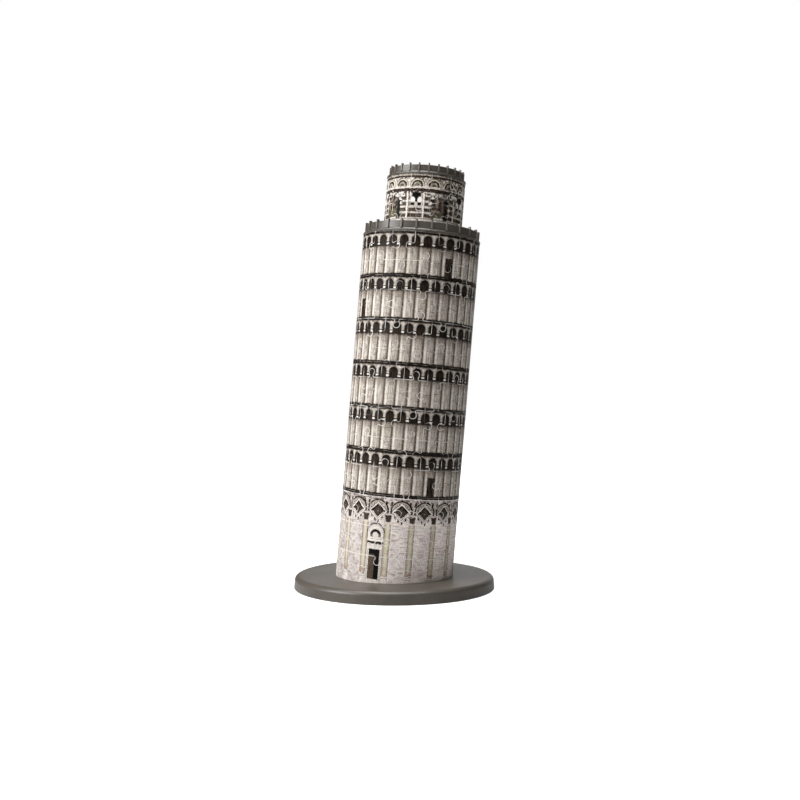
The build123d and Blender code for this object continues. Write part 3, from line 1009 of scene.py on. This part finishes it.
def paint_belfry(area):
    """Striped stone with slim shafts, a small black arch and a broad dark one, and an arcade."""
    looks, level = area.looks, area.level
    wall = mottled(area, WHITE_STONE, GREY_STONE, 0.7)
    stripe = level.around(STRIPE_LEVEL, STRIPE_STEP).near(0.0, 1.35, 0.4) * level.within(253.0, 268.5, 0.4)
    brown = looks.mix(BROWN, SHADE, area.patch.above(0.5, 0.1))
    wall = wall.cover(brown, stripe * area.course.scaled(0.3, 0.5, 0.85, 1.0))
    gaps = area.millimetres(area.turn.around(4.0, 8.0))
    wall = wall.cover(GREY_STONE, stripe * gaps.near(0.0, 0.1, 0.2))
    wall = wall.cover(BROWN, level.above(267.5, 0.5) * area.patch.above(0.5, 0.05))
    for turn in BELFRY_SHAFTS:
        side = area.millimetres(area.turn.around(turn, BELFRY_PERIOD))
        upright = level.below(269.6, 0.3)
        wall = wall.cover(SHADE, side.near(0.85, 0.15, 0.25) * upright * 0.7)
        wall = wall.cover(WHITE_STONE, side.near(0.0, 0.5, 0.22) * upright)
    wall = paint_small_arch(area, wall)
    wall = paint_broad_arch(area, wall)

    base = mottled(area, WHITE_STONE, GREY_STONE)
    joint = area.millimetres(area.turn.around(0.0, 12.0)).near(0.0, 0.1, 0.2)
    base = base.cover(DARK_STONE, level.around(BELFRY_STEP, 3.4).near(0.0, 0.2, 0.25) | joint * 0.7)
    wall = wall.cover(base, level.below(252.6, 0.3))
    moulded = mottled(area, BLACK, BROWN)
    wall = wall.cover(moulded, level.within(271.0, 273.4, 0.35))
    wall = wall.cover(PALE_STONE, level.within(273.5, 274.3, 0.2))
    wall = wall.cover(paint_arcade(area), level.above(274.55, 0.12))
    wall = wall.cover(mottled(area, GREY_STONE, PALE_STONE), level.above(282.0, 0.3))
    wall = wall.cover(moulded, level.within(280.9, 282.3, 0.3) | level.above(283.4, 0.2))
    # painted shade with stain: brown-black patches darken the belfry round its right side, at this turn and
    # opposite it
    stain_and_shade = area.turn.around(STAIN_AND_SHADE_TURN, 180.0).near(0.0, 20.0, 10.0) * level.above(256.0, 6.0)
    wall = wall.cover(moulded, stain_and_shade * area.patch.scaled(0.42, 0.58, 0.0, 0.8))
    # painted light: the belfry is lighter towards the tower's right side and darker towards its left
    return wall.shade(area.right * 0.14 + 1.14)


# --- the printed pieces and the grey mouldings ------------------------------------------

INK = (0.73, 0.708, 0.69)    # the print is this much darker and warmer than the bare plastic
CLEAR_SEAM_LEVEL = 44.0      # below this the seams are white all along, and above it in places


def printed_material(name, radius, paint):
    """A satin print on white plastic, which shows bare on the rounded edges and inside."""
    looks = Looks(name)
    area = Print(looks, radius)
    blotches = ((area.patch - 0.5) * 1.1 + (area.grain - 0.5) * 1.3) * (area.right + 0.5) + 1.0
    picture = looks.shade(looks.shade(paint(area), INK), blotches)
    edge = Number(looks, looks.attribute("edge").outputs["Fac"]).above(0.5, 0.35)
    edge = edge * (area.cloud.scaled(0.36, 0.6, 0.1, 0.95) | area.level.below(CLEAR_SEAM_LEVEL, 2.0) * 0.9)
    colour = looks.mix(picture, PLASTIC_WHITE, edge)
    fine = looks.noise(area.flat, 0.12, 2.0)
    roughness = area.patch.scaled(0.3, 0.7, 0.4, 0.5) + fine * 0.06
    looks.shader.inputs["Specular IOR Level"].default_value = 0.08
    return looks.finish(colour, roughness, fine * 0.5 + area.patch * 0.5, 0.00004)


def paint_low_storeys(area):
    return area.looks.mix(paint_ground(area), paint_gallery(area), area.level.above(58.5, 0.15))


def grey_plastic():
    """Satin warm grey plastic: faint speckle, and a painted highlight that makes it lighter on its edges."""
    looks = Looks("moulded_grey")
    where = looks.node("ShaderNodeTexCoord").outputs["Object"]
    where = Number(looks, where)
    speckle = looks.noise(where, 0.0005, 3.0, 0.6)
    cloud = looks.noise(where, 0.02, 2.0)
    corner = Number(looks, looks.node("ShaderNodeNewGeometry").outputs["Pointiness"])
    colour = looks.mix(PLASTIC_GREY, PALER_GREY, speckle.scaled(0.3, 0.7))
    colour = colour.cover(DARKER_GREY, cloud.scaled(0.4, 0.7, 0.0, 0.5))
    # painted highlight: the grey is lighter on sharp convex edges
    colour = colour.cover(EDGE_HIGHLIGHT_GREY, corner.scaled(0.52, 0.62, 0.0, 0.4))
    roughness = speckle.scaled(0.3, 0.7, 0.32, 0.42) + cloud * 0.05
    return looks.finish(colour, roughness, speckle, 0.00003)


# --- stage, light and camera ------------------------------------------------------------

FLOOR_SIZE, FLOOR_DARK, FLOOR_PALE = 12, (0.48, 0.48, 0.48), (0.54, 0.54, 0.54)
FLOOR_GLOW, FLOOR_FADE = 0.72, 0.5     # glow at the tower's foot, and where it becomes white
WORLD_LIGHT = 0.08
CAMERA_PLACE, CAMERA_LENS, CAMERA_SHIFT = (0, -0.7486, 0.1345), 46.62, 0.00725
TOWER_MIDDLE = (0, 0, 0.15)
LIGHTS = (              # name, place, size, watts
    ("key", (-1.5, -0.6, 0.85), 0.9, 35),
    ("fill", (0.4, -1.6, 0.6), 1.4, 1.2),
    ("top", (-0.2, -0.2, 1.7), 1.2, 44),
    ("back", (0.4, 1.6, 0.75), 1.4, 4),
)


def make_stage():
    """A pale table that fades to white away from the tower, with a soft shadow near it."""
    bpy.ops.mesh.primitive_plane_add(size=FLOOR_SIZE, location=(0, 0, 0))
    floor = bpy.context.object
    floor.name = "floor"
    looks = Looks("floor")
    where = Number(looks, looks.node("ShaderNodeTexCoord").outputs["Object"])
    cloud = looks.noise(where, 0.3, 2.0)
    away = looks.node("ShaderNodeVectorMath")
    away.operation = "LENGTH"
    looks.feed(away.inputs[0], where)
    seen = Number(looks, looks.node("ShaderNodeLightPath").outputs["Is Camera Ray"])
    glow = Number(looks, away.outputs["Value"]).scaled(0.1, FLOOR_FADE, FLOOR_GLOW, 1.0) * seen
    looks.feed(looks.shader.inputs["Base Color"], looks.mix(FLOOR_DARK, FLOOR_PALE, cloud))
    looks.shader.inputs["Roughness"].default_value = 0.7
    looks.shader.inputs["Emission Color"].default_value = (1, 1, 1, 1)
    looks.feed(looks.shader.inputs["Emission Strength"], glow)
    floor.data.materials.append(looks.material)


def make_camera():
    data = bpy.data.cameras.new("camera")
    data.lens = CAMERA_LENS
    data.sensor_width = 36.0
    data.shift_x = CAMERA_SHIFT
    data.clip_start = 0.01
    camera = bpy.data.objects.new("camera", data)
    camera.location = CAMERA_PLACE
    camera.rotation_euler = (math.radians(90), 0, 0)
    bpy.context.scene.collection.objects.link(camera)
    bpy.context.scene.camera = camera


def make_light(name, location, size, energy):
    data = bpy.data.lights.new(name, "AREA")
    data.size = size
    data.energy = energy
    light = bpy.data.objects.new(name, data)
    light.visible_camera = False
    light.location = location
    light.rotation_euler = (Vector(TOWER_MIDDLE) - Vector(location)).to_track_quat("-Z", "Y").to_euler()
    bpy.context.scene.collection.objects.link(light)


def make_world():
    """White all round to the camera, and a softer light on the tower."""
    world = bpy.data.worlds.new("studio")
    bpy.context.scene.world = world
    world.use_nodes = True
    tree = world.node_tree
    background = tree.nodes["Background"]
    path = tree.nodes.new("ShaderNodeLightPath")
    strength = tree.nodes.new("ShaderNodeMapRange")
    strength.inputs["To Min"].default_value = WORLD_LIGHT
    strength.inputs["To Max"].default_value = 1.0
    tree.links.new(path.outputs["Is Camera Ray"], strength.inputs["Value"])
    background.inputs["Color"].default_value = (1, 1, 1, 1)
    tree.links.new(strength.outputs["Result"], background.inputs["Strength"])


make_camera()
make_world()
for light in LIGHTS:
    make_light(*light)
make_stage()

low_print = printed_material("low_print", SHAFT_RADIUS, paint_low_storeys)
gallery_print = printed_material("gallery_print", SHAFT_RADIUS, paint_gallery)
grey = grey_plastic()
make_shaft(lambda row: low_print if row <= 4 else gallery_print)
make_belfry(printed_material("belfry_print", BELFRY_RADIUS, paint_belfry))
make_base(grey)
make_deck(grey)
make_cap(grey)

bpy.context.scene.view_settings.view_transform = "Standard"
